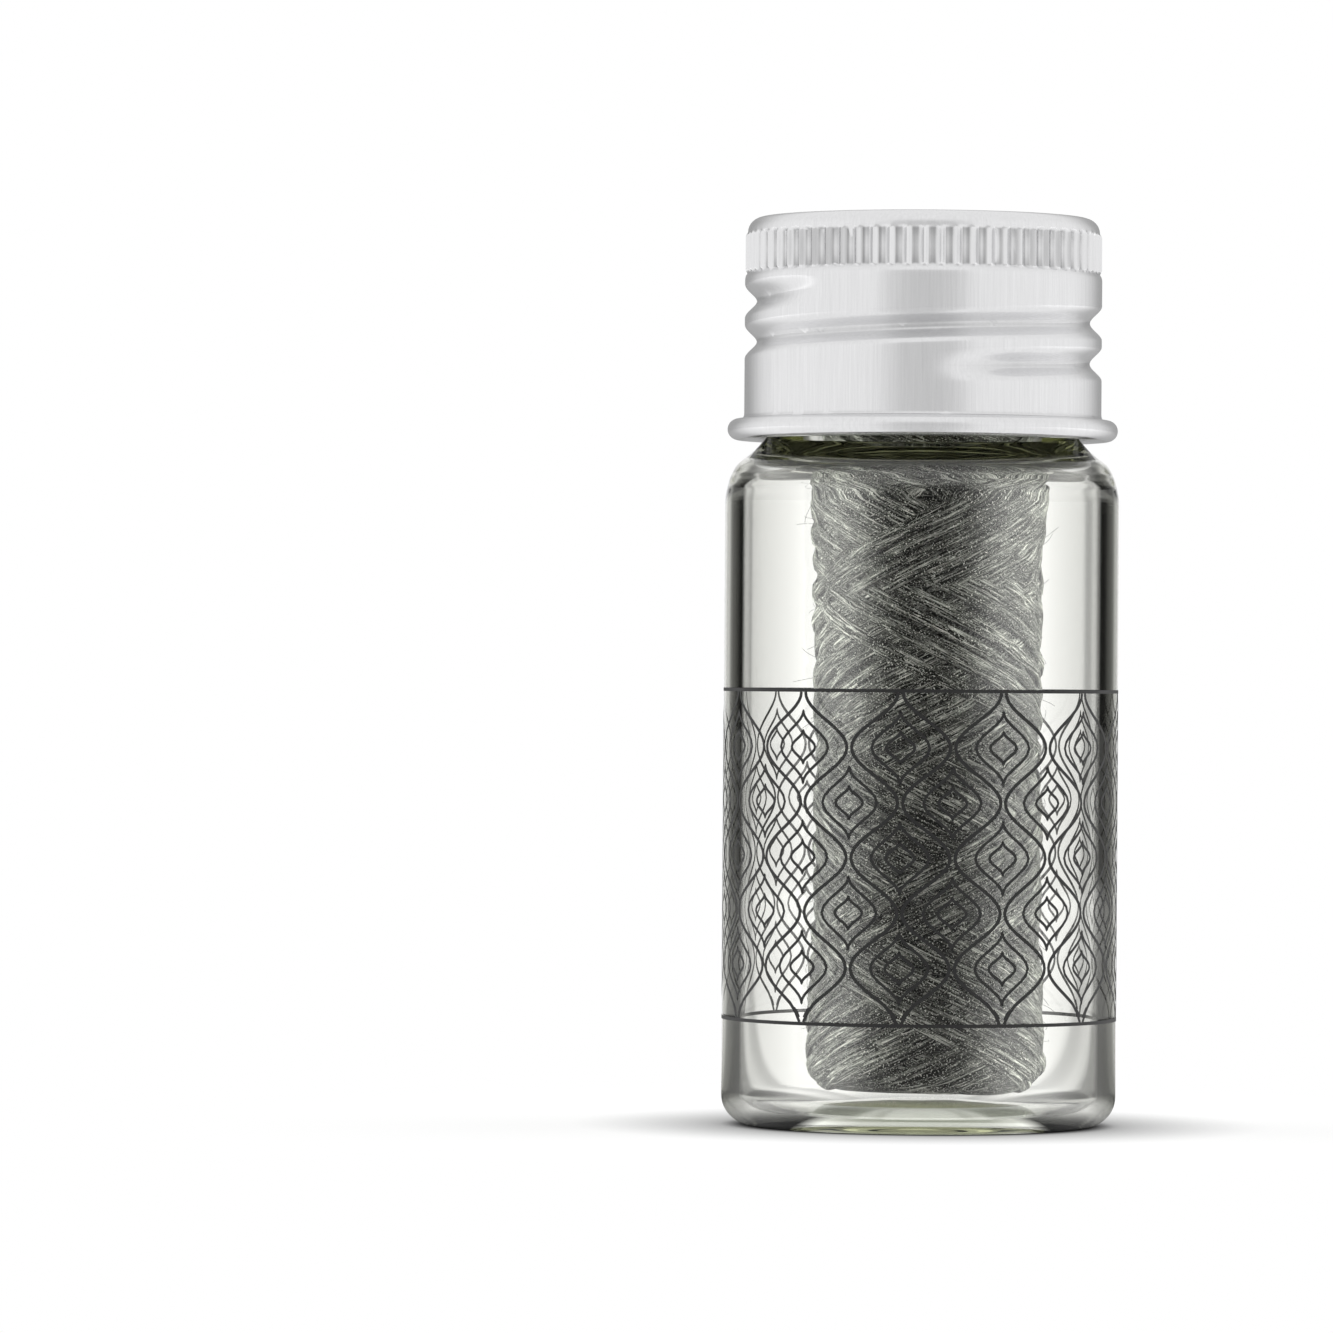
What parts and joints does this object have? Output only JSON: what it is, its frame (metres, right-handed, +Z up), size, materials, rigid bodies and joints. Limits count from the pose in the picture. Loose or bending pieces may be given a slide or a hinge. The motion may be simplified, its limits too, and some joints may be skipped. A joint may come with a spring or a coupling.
{
  "type": "dental floss dispenser",
  "caption": "Glass floss jar with a knurled, rolled-thread aluminium screw cap, a ribbed guide plug with a steel cutter, and a cross-wound spool of dark floss inside.",
  "frame": {"origin": "centre of the ring that the jar stands on", "axes": "+Z up along the jar's axis to the cap, -Y the side that faces the viewer in the picture, +X to the right there"},
  "size_m": [0.03, 0.03, 0.0689],
  "materials": {
    "clear_glass": "clear, polished, faint olive tint where thick",
    "rolled_aluminium": "satin, drawn",
    "liner_foam": "matt white foamed polyethylene",
    "plug_polypropylene": "satin natural polypropylene",
    "cutter_steel": "rolled strip",
    "charcoal_floss": "waxed multifilament yarn"
  },
  "bodies": {
    "jar": {"glass_jar": "clear_glass", "guide_plug": "plug_polypropylene", "floss_cutter": "cutter_steel", "floss_lead": "charcoal_floss"},
    "spool": {"floss_package": "charcoal_floss", "floss_winding": "charcoal_floss"},
    "liner": {"cap_liner": "liner_foam"},
    "cap": {"screw_cap": "rolled_aluminium"}
  },
  "joints": [
    {"name": "cap_lift", "type": "slide", "parent": "jar", "child": "liner", "axis": [0, 0, 1], "range_m": [0, 0.01693]},
    {"name": "cap_turn", "type": "hinge", "parent": "liner", "child": "cap", "pos_m": [0, 0, 0.06], "axis": [0, 0, 1], "range_deg": [0, 1980]},
    {"name": "spool_spin", "type": "hinge", "parent": "jar", "child": "spool", "pos_m": [0.00055, 0, 0.0023], "axis": [0, 0, 1], "continuous": true}
  ],
  "couplings": [
    {"joint": "cap_turn", "follows": "cap_lift", "rad_per_m": 2040}
  ]
}
